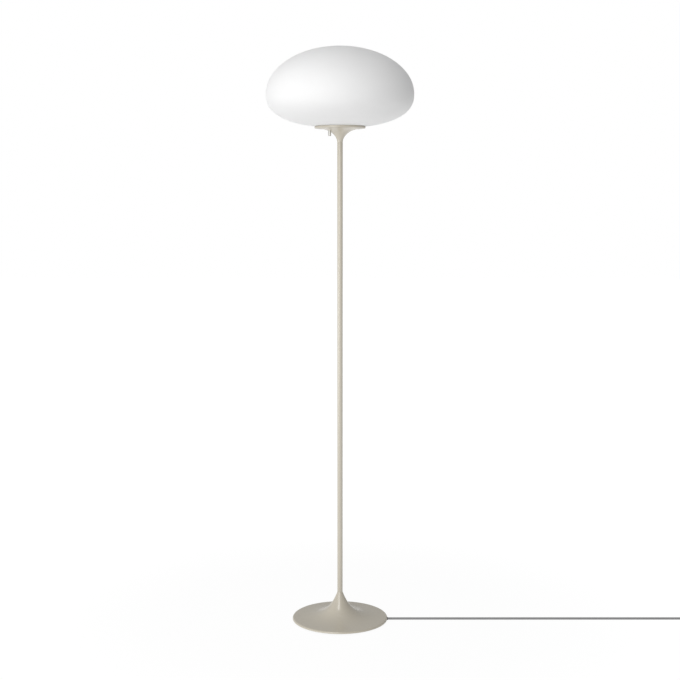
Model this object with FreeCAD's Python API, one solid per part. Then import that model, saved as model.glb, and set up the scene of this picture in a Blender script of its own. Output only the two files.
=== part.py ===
"""Mushroom floor lamp: opal glass shade on a slim stem with a trumpet base.

Millimetres, +Z up. The origin is on the floor, on the axis of the stem. The
mains cord leaves the base towards +X and lies on the floor.
"""
import FreeCAD, Part
import math
import os

from FreeCAD import Vector

# ---------------------------------------------------------------- driving sizes
# Whole lamp
total_height = 1500.0
stem_diameter = 14.0
fit = 0.1                      # radial play of pieces that slip into each other
running_fit = 0.05             # radial play of a turning shaft
overcut = 2.0                  # a cut reaches this far past the wall it opens
screw_head_rounding = 0.4      # share of a screw head's height

# Base
base_diameter = 252.8
foot_height = 3.0
base_edge_height = 3.9         # the trumpet runs out to this height over its rim
base_edge_radius = 4.0
trumpet_rise = 68.2
trumpet_spread = 25.6          # the height falls to 37 % over this radial step
cover_wall = 1.2
bottom_plate_thickness = 1.2
hub_height = 62.0              # top of the iron hub over the floor
hub_room = 0.3
cavity_radius = 26.0
cavity_top = 28.0              # roof of the wiring cavity over the floor
foot_gap = 3.6                 # from the cord's exit bush in to the soft ring
foot_width = 22.0
plate_screw_circle = 60.0      # radius
plate_screw_count = 3
plate_screw_radius = 2.0
plate_screw_length = 8.0
plate_screw_head_radius = 3.8
plate_screw_head_height = 1.4
plate_slot_x = 73.0            # the bottom plate is open for the cord from here out
screw_end_room = 1.0           # left free in the hole past a screw's end

# Threaded tubes and their nuts
nipple_radius = 5.0
nipple_bore = 3.8
nipple_grip = 15.0             # depth screwed into each end of the stem
nipple_end = 2.0               # stands out under the lower nut
nipple_in_holder = 2.0         # stands out over the floor of the lampholder
tap_runout = 1.0               # the stem's thread is this much deeper than the grip
nut_flats = 14.0
lower_nut_height = 4.0
washer_radius = 12.5
lower_washer_thickness = 1.5
stem_bore = 4.5

# Shade
shade_radius = 189.0
shade_crown = 119.7            # widest line up to the top
shade_bowl = 82.85             # widest line down to the foot of the glass
bowl_fullness = 2.4            # exponent of the lower half, 2 is an ellipse
glass_wall = 3.0
glass_foot_width = 6.0
glass_foot_round = 1.2

# Plate that carries the shade, and the collar under it
plate_radius = 65.0
plate_thickness = 1.5
plate_rim_wall = 1.5
rim_under_glass = 0.5
glass_foot_play = 1.2
gasket_thickness = 1.0
gasket_inside = 1.0            # the gasket reaches this far in past the glass
seat_gap = 0.15
collar_height = 36.5
collar_reach = 51.0            # from the stem's skin out to the collar's edge
collar_edge = 0.4
collar_wall = 2.0
collar_hub = 9.5               # solid foot of the collar
collar_pocket_radius = 37.0
plate_washer_thickness = 1.0
plate_nut_height = 3.0

# Dimmer
knob_x = -26.6
knob_y = -12.75
knob_radius = 3.8
knob_length = 15.7
knob_round = 0.5
knob_hole_play = 0.4
knob_below_plate = 4.5         # top of the knob under the plate
spindle_radius = 2.0
spindle_in_knob = 9.0
dimmer_bush_radius = 3.5
dimmer_bush_proud = 0.3        # stands out under its nut
dimmer_nut_flats = 9.0
dimmer_nut_height = 1.8
dimmer_length = 19.5
dimmer_width = 26.0
dimmer_height = 16.0
dimmer_side = 4.1              # spindle's axis to the side that faces the stem
dimmer_round = 1.5
spindle_depth = 5.0            # reach of the spindle into the dimmer

# Lampholder, for a screw cap of 27 mm
holder_height = 57.0
holder_foot_radius = 11.0
holder_cap_radius = 18.5
holder_cap_height = 15.5
holder_shoulder = 9.0
holder_wall = 1.8
holder_floor = 3.0
holder_ledge = 1.0             # carries the insert
spigot_radius = 17.2
spigot_height = 6.0
skirt_radius = 19.0
insert_height = 10.0
shell_bore = 13.45
shell_wall = 0.5
shell_height = 27.0
contact_radius = 4.0
contact_height = 1.2
wire_hole_radius = 2.6
wire_hole_height = 10.0
sheath_recess = 0.5            # the sheath ends this far under the floor's top
neutral_x = 1.5
live_x = -1.5
live_start_y = -1.0
live_bend_x = -5.5
live_bend_drop = 2.5           # the bend towards the dimmer starts this much lower
live_y = -3.0
switched_x = -8.0
switched_y = -8.5

# Bulb
bulb_length = 108.0
bulb_radius = 30.0
bulb_cap_radius = 13.1
bulb_cap_height = 22.5
bulb_tip_radius = 4.8
bulb_tip_end_radius = 3.8
bulb_tip_height = 1.5
bulb_insulator_height = 4.0
bulb_insulator_radius = 5.8    # at the tip
bulb_insulator_root = 12.5     # radius at the cap
bulb_neck_radius = 14.0
bulb_neck_length = 2.0
bulb_waist_radius = 17.0
bulb_waist_share = 0.42        # height of the waist as a share of the flare
bulb_flare = 38.0              # height of the body under the dome
bulb_wall = 1.2
contact_gap = 0.2

# Cord
cord_diameter = 6.0
cord_y = -6.5
cord_play = 0.1
bush_wall = 0.8
bush_inside = 4.8              # length of the exit bush inside the rim
bush_proud = 0.8
core_radius = 1.1
slot_width = 9.5
strap_x = 44.0
strap_width = 10.0
strap_length = 26.0
strap_thickness = 1.6
strap_screw_spacing = 19.0
strap_screw_radius = 1.5
strap_screw_length = 8.0
strap_room = 1.0               # play of the strap in its pocket
strap_head_radius = 2.7
strap_head_height = 1.0
clamp_height = 10.0            # axis of the cord in the clamp, over the floor
bend_share = 0.45              # of the shorter run beside a bend, taken by its arc
lead_level_length = 26.4       # the lead lies level this far in from the rim
lead_strap_reach = 12.0        # and is level again this far either side of the strap

# Coil of the stowed length, and the plug on it
coil_x = 990.0
coil_outer_radius = 45.0
coil_pitch = 6.6               # from one turn to the next, and between layers
coil_half_turns = 6            # in the lower layer, on the way in
tail_start = 8.0
tail_drop_length = 30.0
tail_end = 6.0
relief_length = 22.0
relief_radius = 4.2
relief_root_radius = 5.6
plug_length = 36.0
plug_width = 26.0
plug_thickness = 13.7
plug_neck_width = 13.0
plug_neck_thickness = 12.2
plug_face_width = 23.0
plug_shoulder_share = 0.55     # where the plug is widest, as a share of its length
plug_round = 3.0
pin_radius = 2.0
pin_round = 0.9
pin_length = 19.0
pin_spacing = 18.6
pin_sleeve_length = 10.0
pin_sleeve_radius = 1.8
pin_core_radius = 1.5
pin_root = 6.0                 # length of a pin held inside the plug

# ---------------------------------------------------------------- levels and radii
base_radius = base_diameter / 2
foot_outer_radius = base_radius - bush_inside - foot_gap
stem_radius = stem_diameter / 2
cord_radius = cord_diameter / 2
bottom_plate_top = foot_height + bottom_plate_thickness
trumpet_foot = foot_height + base_edge_height
stem_bottom = trumpet_foot + trumpet_rise
glass_foot_z = total_height - shade_crown - shade_bowl
shade_widest_z = glass_foot_z + shade_bowl
plate_top = glass_foot_z - seat_gap - gasket_thickness
plate_bottom = plate_top - plate_thickness
collar_bottom = plate_bottom - collar_height
stem_top = collar_bottom
holder_bottom = plate_top + plate_washer_thickness + plate_nut_height
holder_spigot_z = holder_bottom + holder_cap_height
insert_top = holder_spigot_z + insert_height
bulb_bottom = insert_top + contact_height + contact_gap
lower_nut_top = cavity_top - lower_washer_thickness
lower_nipple_bottom = lower_nut_top - lower_nut_height - nipple_end
strap_top = clamp_height - cord_radius - fit
thread_room = nipple_radius + fit
glass_foot_radius = plate_radius - plate_rim_wall - glass_foot_play
mouth_radius = glass_foot_radius - glass_foot_width
cord_exit_x = base_radius + bush_proud
sheath_end = holder_bottom + holder_floor - sheath_recess
wire_level = holder_bottom + wire_hole_height
dimmer_face = knob_x + dimmer_side
knob_top = plate_bottom - knob_below_plate
bulb_cap_bottom = bulb_bottom + bulb_tip_height + bulb_insulator_height
bulb_cap_top = bulb_cap_bottom + bulb_cap_height
bulb_top = bulb_bottom + bulb_length
dome_centre_z = bulb_top - bulb_radius
dome_bottom = bulb_cap_top + bulb_flare
coil_y = cord_y + coil_outer_radius
tail_x = coil_x + coil_outer_radius
tail_end_y = coil_y + tail_start + tail_drop_length + tail_end
plug_z = plug_thickness / 2
plug_back_y = tail_end_y + relief_length
plug_face_y = plug_back_y + plug_length


# ---------------------------------------------------------------- shape helpers
def at(radius, height):
    """Point of an outline in the radial plane."""
    return Vector(radius, 0, height)


def straight_edges(*points):
    """Straight edges from point to point."""
    return [Part.makeLine(a, b) for a, b in zip(points, points[1:])]


def curve_edge(points, start=None, end=None):
    """Smooth edge through points, with its end directions where given."""
    curve = Part.BSplineCurve()
    if start is None:
        curve.interpolate(points)
    else:
        curve.interpolate(Points=points, InitialTangent=start, FinalTangent=end)
    return curve.toShape()


def turned(edges):
    """Solid turned about the Z axis from a closed outline of edges in order."""
    face = Part.Face(Part.Wire(edges))
    return face.revolve(Vector(0, 0, 0), Vector(0, 0, 1), 360)


def turned_points(*points):
    """Solid turned about the Z axis from a closed outline of straight lines."""
    return turned(straight_edges(*points, points[0]))


def cylinder(radius, bottom, top, x=0.0, y=0.0):
    """Upright cylinder between two levels."""
    return Part.makeCylinder(radius, top - bottom, Vector(x, y, bottom))


def ring(outer, inner, bottom, top, x=0.0, y=0.0):
    """Upright tube between two levels."""
    return cylinder(outer, bottom, top, x, y).cut(cylinder(inner, bottom, top, x, y))


def block(x_range, y_range, z_range):
    """Box between three pairs of limits."""
    low = Vector(x_range[0], y_range[0], z_range[0])
    size = [limits[1] - limits[0] for limits in (x_range, y_range, z_range)]
    return Part.makeBox(*size, low)


def hexagon(flats, bottom, top, x=0.0, y=0.0):
    """Hexagonal prism, by its width over two flats."""
    corner = flats / math.sqrt(3)
    angles = [math.radians(60 * i) for i in range(7)]
    points = [Vector(x + corner * math.cos(a), y + corner * math.sin(a), bottom) for a in angles]
    return Part.Face(Part.makePolygon(points)).extrude(Vector(0, 0, top - bottom))


def screw_from_below(x, y, seat, radius, length, head_radius, head_height):
    """Screw whose head lies under the level of its seat and points down."""
    shank = cylinder(radius, seat, seat + length, x, y)
    head = cylinder(head_radius, seat - head_height, seat, x, y)
    head = head.makeFillet(head_height * screw_head_rounding, [head.Edges[2]])
    return shank.fuse(head)


# ---------------------------------------------------------------- cord helpers
def routed_edges(points, label):
    """Straight runs joined by arcs that touch both runs.

    Each arc takes the same share of the shorter run beside it, so its radius is
    that length divided by the tangent of half the turn. The radii are printed.
    """
    edges = []
    start = points[0]
    radii = []
    for before, corner, after in zip(points, points[1:], points[2:]):
        inward = (corner - before).normalize()
        outward = (after - corner).normalize()
        reach = bend_share * min((corner - before).Length, (after - corner).Length)
        half_turn = inward.getAngle(outward) / 2
        radius = reach / math.tan(half_turn)
        radii.append(round(radius, 1))
        arc_start = corner - inward * reach
        arc_end = corner + outward * reach
        middle_line = (outward - inward).normalize()
        depth = radius / math.cos(half_turn) - radius
        edges.append(Part.makeLine(start, arc_start))
        edges.append(Part.Arc(arc_start, corner + middle_line * depth, arc_end).toShape())
        start = arc_end
    edges.append(Part.makeLine(start, points[-1]))
    print(label, "radii", radii)
    return edges


def tube_on(edges, radius):
    """Round tube of one section along edges that touch end to end."""
    spine = Part.Wire(edges)
    start = edges[0].valueAt(edges[0].FirstParameter)
    direction = edges[0].tangentAt(edges[0].FirstParameter)
    section = Part.Wire(Part.makeCircle(radius, start, direction))
    return spine.makePipeShell([section], True, False)


def biarc_edges(start, start_direction, end, end_direction):
    """Two arcs that leave one point and reach another in given directions."""
    chord = end - start
    both = start_direction + end_direction
    bend = 2 * (1 - start_direction.dot(end_direction))
    along = chord.dot(both)
    square = chord.dot(chord)
    if bend < 1e-9:
        reach = square / (2 * along)
    else:
        reach = (math.sqrt(along * along + bend * square) - along) / bend
    corner_a = start + start_direction * reach
    corner_b = end - end_direction * reach
    joint = (corner_a + corner_b) / 2
    return [arc_through_corner(start, corner_a, joint), arc_through_corner(joint, corner_b, end)]


def arc_through_corner(start, corner, end):
    """Arc that touches both lines of a corner at equal distances from it."""
    reach = (corner - start).Length
    inward = (corner - start).normalize()
    outward = (end - corner).normalize()
    half_turn = inward.getAngle(outward) / 2
    depth = reach / math.sin(half_turn) - reach / math.tan(half_turn)
    return Part.Arc(start, corner + (outward - inward).normalize() * depth, end).toShape()


def least_gap(edges, diameter, step=2.0):
    """Least gap between turns, on points of the centre line of a tube."""
    line = Part.Wire(edges)
    points = line.discretize(Distance=step)
    apart = int(3 * diameter / step)
    nearest = min(
        points[i].distanceToPoint(points[j])
        for i in range(len(points))
        for j in range(i + apart, len(points))
    )
    return nearest - diameter


# ---------------------------------------------------------------- base
def trumpet_z(radius):
    """Height of the trumpet's skin: it falls exponentially from the stem outwards."""
    return trumpet_foot + trumpet_rise * math.exp((stem_radius - radius) / trumpet_spread)


def trumpet_radius(height):
    """Radius of the trumpet's skin at a height."""
    return stem_radius - trumpet_spread * math.log((height - trumpet_foot) / trumpet_rise)


def trumpet_points(first_radius, depth, count=9):
    """Points from a first radius out to the rim's rounding, set in by a depth."""
    last_radius = base_radius - base_edge_radius
    points = []
    for i in range(count):
        radius = first_radius + (last_radius - first_radius) * (i / (count - 1)) ** 2
        slope = -(trumpet_z(radius) - trumpet_foot) / trumpet_spread
        length = math.hypot(slope, 1)
        points.append(at(radius + depth * slope / length, trumpet_z(radius) - depth / length))
    return points


def rim_edges(skin_end, depth, bottom):
    """Rounded rim, from the end of the skin down to a level."""
    radius = base_edge_radius - depth
    outside = base_radius - depth
    turn = radius * math.sqrt(0.5)
    middle = at(outside - radius + turn, skin_end.z - radius + turn)
    low = at(outside, skin_end.z - radius)
    rounding = Part.Arc(skin_end, middle, low).toShape()
    return [rounding] + straight_edges(low, at(outside, bottom))


def exit_notch(radius, start):
    """Arch over the cord at the rim: round above the cord's axis, open below."""
    length = base_radius + overcut - start
    arch = Part.makeCylinder(radius, length, Vector(start, cord_y, cord_radius), Vector(1, 0, 0))
    legs = block((start, start + length), (cord_y - radius, cord_y + radius),
                 (-overcut, cord_radius))
    return arch.fuse(legs)


def make_base_cover():
    """Spun steel trumpet with a rounded rim, notched for the cord."""
    skin = trumpet_points(stem_radius, 0)
    lining = trumpet_points(stem_radius, cover_wall)
    outer_rim = rim_edges(skin[-1], 0, foot_height)
    inner_rim = rim_edges(lining[-1], cover_wall, foot_height)
    neck = at(lining[0].x, skin[0].z)
    edges = [curve_edge(skin)] + outer_rim
    edges += straight_edges(at(base_radius, foot_height), at(base_radius - cover_wall, foot_height))
    edges += inner_rim[::-1]
    edges += [curve_edge(lining)]
    edges += straight_edges(lining[0], neck, skin[0])
    notch_start = base_radius - bush_inside - fit
    return turned(edges).cut(exit_notch(cord_radius + cord_play + bush_wall + fit, notch_start))


def make_base_weight():
    """Cast iron weight under the cover, with a cavity and a slot for the cord.

    It ends where the rounding of the cover's rim begins.
    """
    depth = cover_wall + hub_room
    hub = trumpet_points(trumpet_radius(hub_height), depth)
    top = at(hub[0].x, hub[0].z)
    bore = thread_room + fit
    edges = [curve_edge(hub)]
    edges += straight_edges(
        hub[-1],
        at(hub[-1].x, bottom_plate_top),
        at(cavity_radius, bottom_plate_top),
        at(cavity_radius, cavity_top),
        at(bore, cavity_top),
        at(bore, top.z),
        top,
    )
    weight = turned(edges)
    sides = (cord_y - slot_width / 2, cord_y + slot_width / 2)
    roof = clamp_height + cord_radius + fit
    through_from = strap_x + strap_width
    weight = weight.cut(block((through_from, base_radius), sides, (0, hub_height)))
    weight = weight.cut(block((cavity_radius - slot_width / 2, through_from), sides, (0, roof)))
    pocket_half_x = strap_width / 2 + strap_room
    pocket_half_y = strap_length / 2 + strap_room
    pocket_x = (strap_x - pocket_half_x, strap_x + pocket_half_x)
    pocket_y = (cord_y - pocket_half_y, cord_y + pocket_half_y)
    weight = weight.cut(block(pocket_x, pocket_y, (0, strap_top)))
    for side in (-1, 1):
        y = cord_y + side * strap_screw_spacing / 2
        hole_top = strap_top + strap_screw_length
        weight = weight.cut(cylinder(strap_screw_radius + fit, 0, hole_top, strap_x, y))
    for x, y in plate_screw_places():
        hole_top = bottom_plate_top + plate_screw_length
        weight = weight.cut(cylinder(plate_screw_radius + fit, 0, hole_top, x, y))
    return weight


def plate_screw_places():
    """Places of the screws that hold the bottom plate, clear of the cord."""
    places = []
    for i in range(plate_screw_count):
        angle = math.radians(60 + 360 * i / plate_screw_count)
        places.append((plate_screw_circle * math.cos(angle), plate_screw_circle * math.sin(angle)))
    return places


def make_bottom_plate():
    """Steel disc that closes the base from below."""
    radius = base_radius - cover_wall - 2 * fit
    plate = cylinder(radius, foot_height, bottom_plate_top)
    sides = (cord_y - slot_width / 2, cord_y + slot_width / 2)
    plate = plate.cut(block((plate_slot_x, base_radius), sides, (0, bottom_plate_top)))
    for x, y in plate_screw_places():
        plate = plate.cut(cylinder(plate_screw_radius + fit, 0, bottom_plate_top, x, y))
    return plate


def make_plate_screws():
    """Pan-head screws of the bottom plate."""
    length = plate_screw_length + bottom_plate_thickness - screw_end_room
    return Part.makeCompound([
        screw_from_below(x, y, foot_height, plate_screw_radius, length,
                         plate_screw_head_radius, plate_screw_head_height)
        for x, y in plate_screw_places()
    ])


def make_foot_ring():
    """Soft ring under the rim, open where the cord passes."""
    foot = ring(foot_outer_radius, foot_outer_radius - foot_width, 0, foot_height)
    sides = (cord_y - slot_width / 2, cord_y + slot_width / 2)
    return foot.cut(block((0, base_radius), sides, (0, foot_height)))


def make_exit_bush():
    """Arched edge bush round the cord in the rim's notch, open to the floor."""
    start = base_radius - bush_inside
    inner = cord_radius + cord_play
    bush = exit_notch(inner + bush_wall, start).cut(exit_notch(inner, start))
    room = block((start, cord_exit_x), (cord_y - 2 * cord_diameter, cord_y + 2 * cord_diameter),
                 (fit, cord_diameter * 2))
    return bush.common(room)


def make_cord_clamp():
    """Steel strap that presses the cord up against the weight."""
    strap = block((strap_x - strap_width / 2, strap_x + strap_width / 2),
                  (cord_y - strap_length / 2, cord_y + strap_length / 2),
                  (strap_top - strap_thickness, strap_top))
    for side in (-1, 1):
        y = cord_y + side * strap_screw_spacing / 2
        strap = strap.cut(cylinder(strap_screw_radius + fit, 0, strap_top, strap_x, y))
    return strap


def make_clamp_screws():
    """Two screws of the cord clamp."""
    seat = strap_top - strap_thickness
    return Part.makeCompound([
        screw_from_below(strap_x, cord_y + side * strap_screw_spacing / 2, seat,
                         strap_screw_radius, strap_screw_length, strap_head_radius,
                         strap_head_height)
        for side in (-1, 1)
    ])


# ---------------------------------------------------------------- stem
def make_stem_tube():
    """Steel tube, tapped at both ends."""
    tube = ring(stem_radius, stem_bore, stem_bottom, stem_top)
    tap = nipple_grip + tap_runout
    tube = tube.cut(cylinder(thread_room, stem_bottom, stem_bottom + tap))
    return tube.cut(cylinder(thread_room, stem_top - tap, stem_top))


def make_lower_nipple():
    """Threaded tube that ties the stem to the weight."""
    return ring(nipple_radius, nipple_bore, lower_nipple_bottom, stem_bottom + nipple_grip)


def make_lower_washer():
    """Washer against the roof of the cavity."""
    return ring(washer_radius, thread_room, lower_nut_top, cavity_top)


def make_lower_nut():
    """Nut that pulls the stem down on the base."""
    bottom = lower_nut_top - lower_nut_height
    nut = hexagon(nut_flats, bottom, lower_nut_top)
    return nut.cut(cylinder(thread_room, bottom, lower_nut_top))


def make_upper_nipple():
    """Threaded tube through collar and plate into the lampholder."""
    top = holder_bottom + holder_floor + nipple_in_holder
    return ring(nipple_radius, nipple_bore, stem_top - nipple_grip, top)


# ---------------------------------------------------------------- collar and plate
def flare_points(reach, rise, start_angle, end_angle, count=7):
    """Points of the collar's quarter ellipse; its centre is outside the metal."""
    centre = stem_radius + collar_reach
    points = []
    for i in range(count):
        angle = start_angle + (end_angle - start_angle) * i / (count - 1)
        points.append(at(centre - reach * math.cos(angle), collar_bottom + rise * math.sin(angle)))
    return points


def make_collar():
    """Turned collar that opens from the stem to the plate like a trumpet."""
    rise = collar_height - collar_edge
    quarter = math.pi / 2
    skin = flare_points(collar_reach, rise, 0, quarter)
    inner_reach = collar_reach + collar_wall
    inner_rise = rise + collar_wall
    start_angle = math.asin(collar_hub / inner_rise)
    centre = stem_radius + collar_reach
    end_angle = math.acos((centre - collar_pocket_radius) / inner_reach)
    pocket = flare_points(inner_reach, inner_rise, start_angle, end_angle)
    bore = thread_room + fit
    edges = [curve_edge(skin, Vector(0, 0, 1), Vector(1, 0, 0))]
    edges += straight_edges(skin[-1], at(centre, plate_bottom), at(pocket[-1].x, plate_bottom),
                            pocket[-1])
    edges += [curve_edge(pocket)]
    edges += straight_edges(pocket[0], at(bore, pocket[0].z), at(bore, collar_bottom), skin[0])
    hole = cylinder(knob_radius + knob_hole_play, collar_bottom, plate_bottom, knob_x, knob_y)
    return turned(edges).cut(hole)


def make_shade_plate():
    """Shallow dish whose rim keeps the foot of the glass in place."""
    rim_top = bowl_z(plate_radius) - rim_under_glass
    inner = plate_radius - plate_rim_wall
    edges = straight_edges(
        at(thread_room, plate_bottom),
        at(plate_radius, plate_bottom),
        at(plate_radius, rim_top),
        at(inner, rim_top),
        at(inner, plate_top),
        at(thread_room, plate_top),
        at(thread_room, plate_bottom),
    )
    hole = cylinder(dimmer_bush_radius + fit, plate_bottom, plate_top, knob_x, knob_y)
    return turned(edges).cut(hole)


def make_plate_washer():
    """Washer between plate and nut."""
    return ring(washer_radius, thread_room, plate_top, plate_top + plate_washer_thickness)


def make_plate_nut():
    """Nut that clamps plate and collar on the stem."""
    bottom = plate_top + plate_washer_thickness
    nut = hexagon(nut_flats, bottom, holder_bottom)
    return nut.cut(cylinder(thread_room, bottom, holder_bottom))


def make_shade_gasket():
    """Clear soft ring in the dish, under the foot of the glass."""
    outer = plate_radius - plate_rim_wall - fit
    return ring(outer, mouth_radius - gasket_inside, plate_top, plate_top + gasket_thickness)


# ---------------------------------------------------------------- shade
def bowl_z(radius):
    """Height of the outer skin of the lower half, a superellipse."""
    share = (radius / shade_radius) ** bowl_fullness
    return shade_widest_z - shade_bowl * (1 - share) ** (1 / bowl_fullness)


def crown_points(radius, rise, count=8):
    """Points of the upper half, a quarter ellipse, from the top to the widest line."""
    angles = [math.pi / 2 * i / (count - 1) for i in range(count)]
    return [at(radius * math.sin(a), shade_widest_z + rise * math.cos(a)) for a in angles]


def bowl_points(radius, drop, end_radius, count=11):
    """Points of the lower half from the widest line in to a radius."""
    power = 2 / bowl_fullness
    end_angle = math.asin((end_radius / radius) ** (1 / power))
    points = []
    for i in range(count):
        angle = math.pi / 2 + (end_angle - math.pi / 2) * i / (count - 1)
        height = shade_widest_z - drop * max(math.cos(angle), 0.0) ** power
        points.append(at(radius * math.sin(angle) ** power, height))
    return points


def chord_direction(points):
    """Direction of the last stretch of a row of points."""
    return (points[-1] - points[-2]).normalize()


def make_opal_shade():
    """Blown glass: half an ellipse over a fuller bowl, with a ground foot ring."""
    inner_radius = shade_radius - glass_wall
    inner_drop = shade_bowl - glass_wall
    skin_top = crown_points(shade_radius, shade_crown)
    skin_low = bowl_points(shade_radius, shade_bowl, glass_foot_radius)
    lining_top = crown_points(inner_radius, shade_crown - glass_wall)
    lining_low = bowl_points(inner_radius, inner_drop, mouth_radius)
    down = Vector(0, 0, -1)
    out = Vector(1, 0, 0)
    edges = [curve_edge(skin_top, out, down), curve_edge(skin_low, down, chord_direction(skin_low))]
    edges += straight_edges(skin_low[-1], at(glass_foot_radius, glass_foot_z),
                            at(mouth_radius, glass_foot_z), lining_low[-1])
    edges += [curve_edge(lining_low, down, chord_direction(lining_low)),
              curve_edge(lining_top, out, down)]
    edges += straight_edges(lining_top[0], skin_top[0])
    glass = turned(edges)
    foot_edges = [
        edge for edge in glass.Edges
        if abs(edge.BoundBox.ZMax - glass_foot_z) < 1e-4 and edge.BoundBox.XLength > mouth_radius
    ]
    return glass.makeFillet(glass_foot_round, foot_edges)


# ---------------------------------------------------------------- dimmer
def make_dimmer_body():
    """Moulded box of the dimmer, on top of the plate."""
    body = block((dimmer_face - dimmer_length, dimmer_face),
                 (knob_y - dimmer_width / 2, knob_y + dimmer_width / 2),
                 (plate_top, plate_top + dimmer_height))
    upright = [edge for edge in body.Edges if edge.BoundBox.ZLength > dimmer_height / 2]
    body = body.makeFillet(dimmer_round, upright)
    bush_room = cylinder(dimmer_bush_radius, plate_top, plate_top + spindle_depth, knob_x, knob_y)
    return body.cut(bush_room)


def make_dimmer_bush():
    """Brass bearing of the spindle, through the plate."""
    bottom = plate_bottom - dimmer_nut_height - dimmer_bush_proud
    return ring(dimmer_bush_radius, spindle_radius + running_fit, bottom,
                plate_top + spindle_depth, knob_x, knob_y)


def make_dimmer_nut():
    """Thin nut that holds the dimmer under the plate."""
    bottom = plate_bottom - dimmer_nut_height
    nut = hexagon(dimmer_nut_flats, bottom, plate_bottom, knob_x, knob_y)
    return nut.cut(cylinder(dimmer_bush_radius + fit, bottom, plate_bottom, knob_x, knob_y))


def make_dimmer_spindle():
    """Spindle between dimmer and knob."""
    return cylinder(spindle_radius, knob_top - spindle_in_knob,
                    plate_top + spindle_depth - contact_gap, knob_x, knob_y)


def make_dimmer_knob():
    """Slim knob that stands out under the collar."""
    knob = cylinder(knob_radius, knob_top - knob_length, knob_top, knob_x, knob_y)
    low_edge = [edge for edge in knob.Edges if edge.BoundBox.ZMax < knob_top - knob_length / 2]
    knob = knob.makeFillet(knob_round, low_edge)
    return knob.cut(cylinder(spindle_radius, knob_top - spindle_in_knob, knob_top, knob_x, knob_y))


# ---------------------------------------------------------------- lampholder
def wire_hole(offset):
    """Side hole of the lampholder's cap, towards the dimmer."""
    return Part.makeCylinder(wire_hole_radius, holder_cap_radius + overcut,
                             Vector(0, offset, wire_level), Vector(-1, 0, 0))


def make_holder_cap():
    """Cup of the lampholder, screwed on the threaded tube."""
    inner = spigot_radius - holder_wall
    wire_room = inner - holder_ledge
    shoulder_z = holder_bottom + holder_shoulder
    cup = turned_points(
        at(thread_room, holder_bottom),
        at(holder_foot_radius, holder_bottom),
        at(holder_cap_radius, shoulder_z),
        at(holder_cap_radius, holder_spigot_z),
        at(spigot_radius, holder_spigot_z),
        at(spigot_radius, holder_spigot_z + spigot_height),
        at(inner, holder_spigot_z + spigot_height),
        at(inner, holder_spigot_z),
        at(wire_room, holder_spigot_z),
        at(wire_room, shoulder_z),
        at(holder_foot_radius - holder_wall, holder_bottom + holder_floor),
        at(thread_room, holder_bottom + holder_floor),
    )
    return cup.cut(wire_hole(live_y)).cut(wire_hole(switched_y))


def make_holder_insert():
    """Ceramic disc that carries the contacts."""
    return cylinder(spigot_radius - holder_wall - fit, holder_spigot_z, insert_top)


def make_holder_skirt():
    """Outer sleeve of the lampholder, screwed over the cap."""
    inner = spigot_radius + fit
    return ring(skirt_radius, inner, holder_spigot_z, holder_bottom + holder_height)


def make_thread_shell():
    """Metal shell that the lamp's cap screws into."""
    return ring(shell_bore + shell_wall, shell_bore, insert_top, insert_top + shell_height)


def make_centre_contact():
    """Centre contact on the insert."""
    return cylinder(contact_radius, insert_top, insert_top + contact_height)


# ---------------------------------------------------------------- bulb
def make_bulb_tip():
    """Solder tip of the bulb."""
    return Part.makeCone(bulb_tip_end_radius, bulb_tip_radius, bulb_tip_height,
                         Vector(0, 0, bulb_bottom))


def make_bulb_insulator():
    """Dark insulating cone between tip and cap."""
    return Part.makeCone(bulb_insulator_radius, bulb_insulator_root, bulb_insulator_height,
                         Vector(0, 0, bulb_bottom + bulb_tip_height))


def make_bulb_cap():
    """Screw cap of the bulb."""
    return cylinder(bulb_cap_radius, bulb_cap_bottom, bulb_cap_top)


def dome_radius_at(height):
    """Radius of the ball-shaped end at a height."""
    return math.sqrt(bulb_radius ** 2 - (height - dome_centre_z) ** 2)


def make_bulb_body():
    """White body that opens from the cap to the dome."""
    rim = dome_radius_at(dome_bottom)
    waist = at(bulb_waist_radius, bulb_cap_top + bulb_flare * bulb_waist_share)
    flare = [at(bulb_neck_radius, bulb_cap_top + bulb_neck_length), waist, at(rim, dome_bottom)]
    edges = straight_edges(at(0, dome_bottom), at(0, bulb_cap_top),
                           at(bulb_neck_radius, bulb_cap_top), flare[0])
    edges += [curve_edge(flare)]
    edges += straight_edges(flare[-1], at(0, dome_bottom))
    return turned(edges)


def make_bulb_dome():
    """Opal ball-shaped cover of the bulb."""
    ball = Part.makeSphere(bulb_radius, Vector(0, 0, dome_centre_z))
    hollow = Part.makeSphere(bulb_radius - bulb_wall, Vector(0, 0, dome_centre_z))
    keep = cylinder(bulb_radius + overcut, dome_bottom, bulb_top + overcut)
    return ball.cut(hollow).common(keep)


# ---------------------------------------------------------------- wiring
def make_inner_lead():
    """Sheathed cord from the rim through clamp, threaded tubes and stem."""
    route = [
        Vector(cord_exit_x, cord_y, cord_radius),
        Vector(base_radius - lead_level_length, cord_y, cord_radius),
        Vector(strap_x + lead_strap_reach, cord_y, clamp_height),
        Vector(strap_x - lead_strap_reach, cord_y, clamp_height),
        Vector(0, 0, clamp_height),
        Vector(0, 0, sheath_end),
    ]
    return tube_on(routed_edges(route, "inner lead"), cord_radius)


def make_neutral_core():
    """Core from the end of the sheath straight to the insert."""
    return cylinder(core_radius, sheath_end, holder_spigot_z, neutral_x, 0)


def make_live_core():
    """Core from the end of the sheath out to the dimmer."""
    route = [
        Vector(live_x, live_start_y, sheath_end),
        Vector(live_x, live_start_y, wire_level - live_bend_drop),
        Vector(live_bend_x, live_y, wire_level),
        Vector(dimmer_face, live_y, wire_level),
    ]
    return tube_on(routed_edges(route, "live core"), core_radius)


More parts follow.
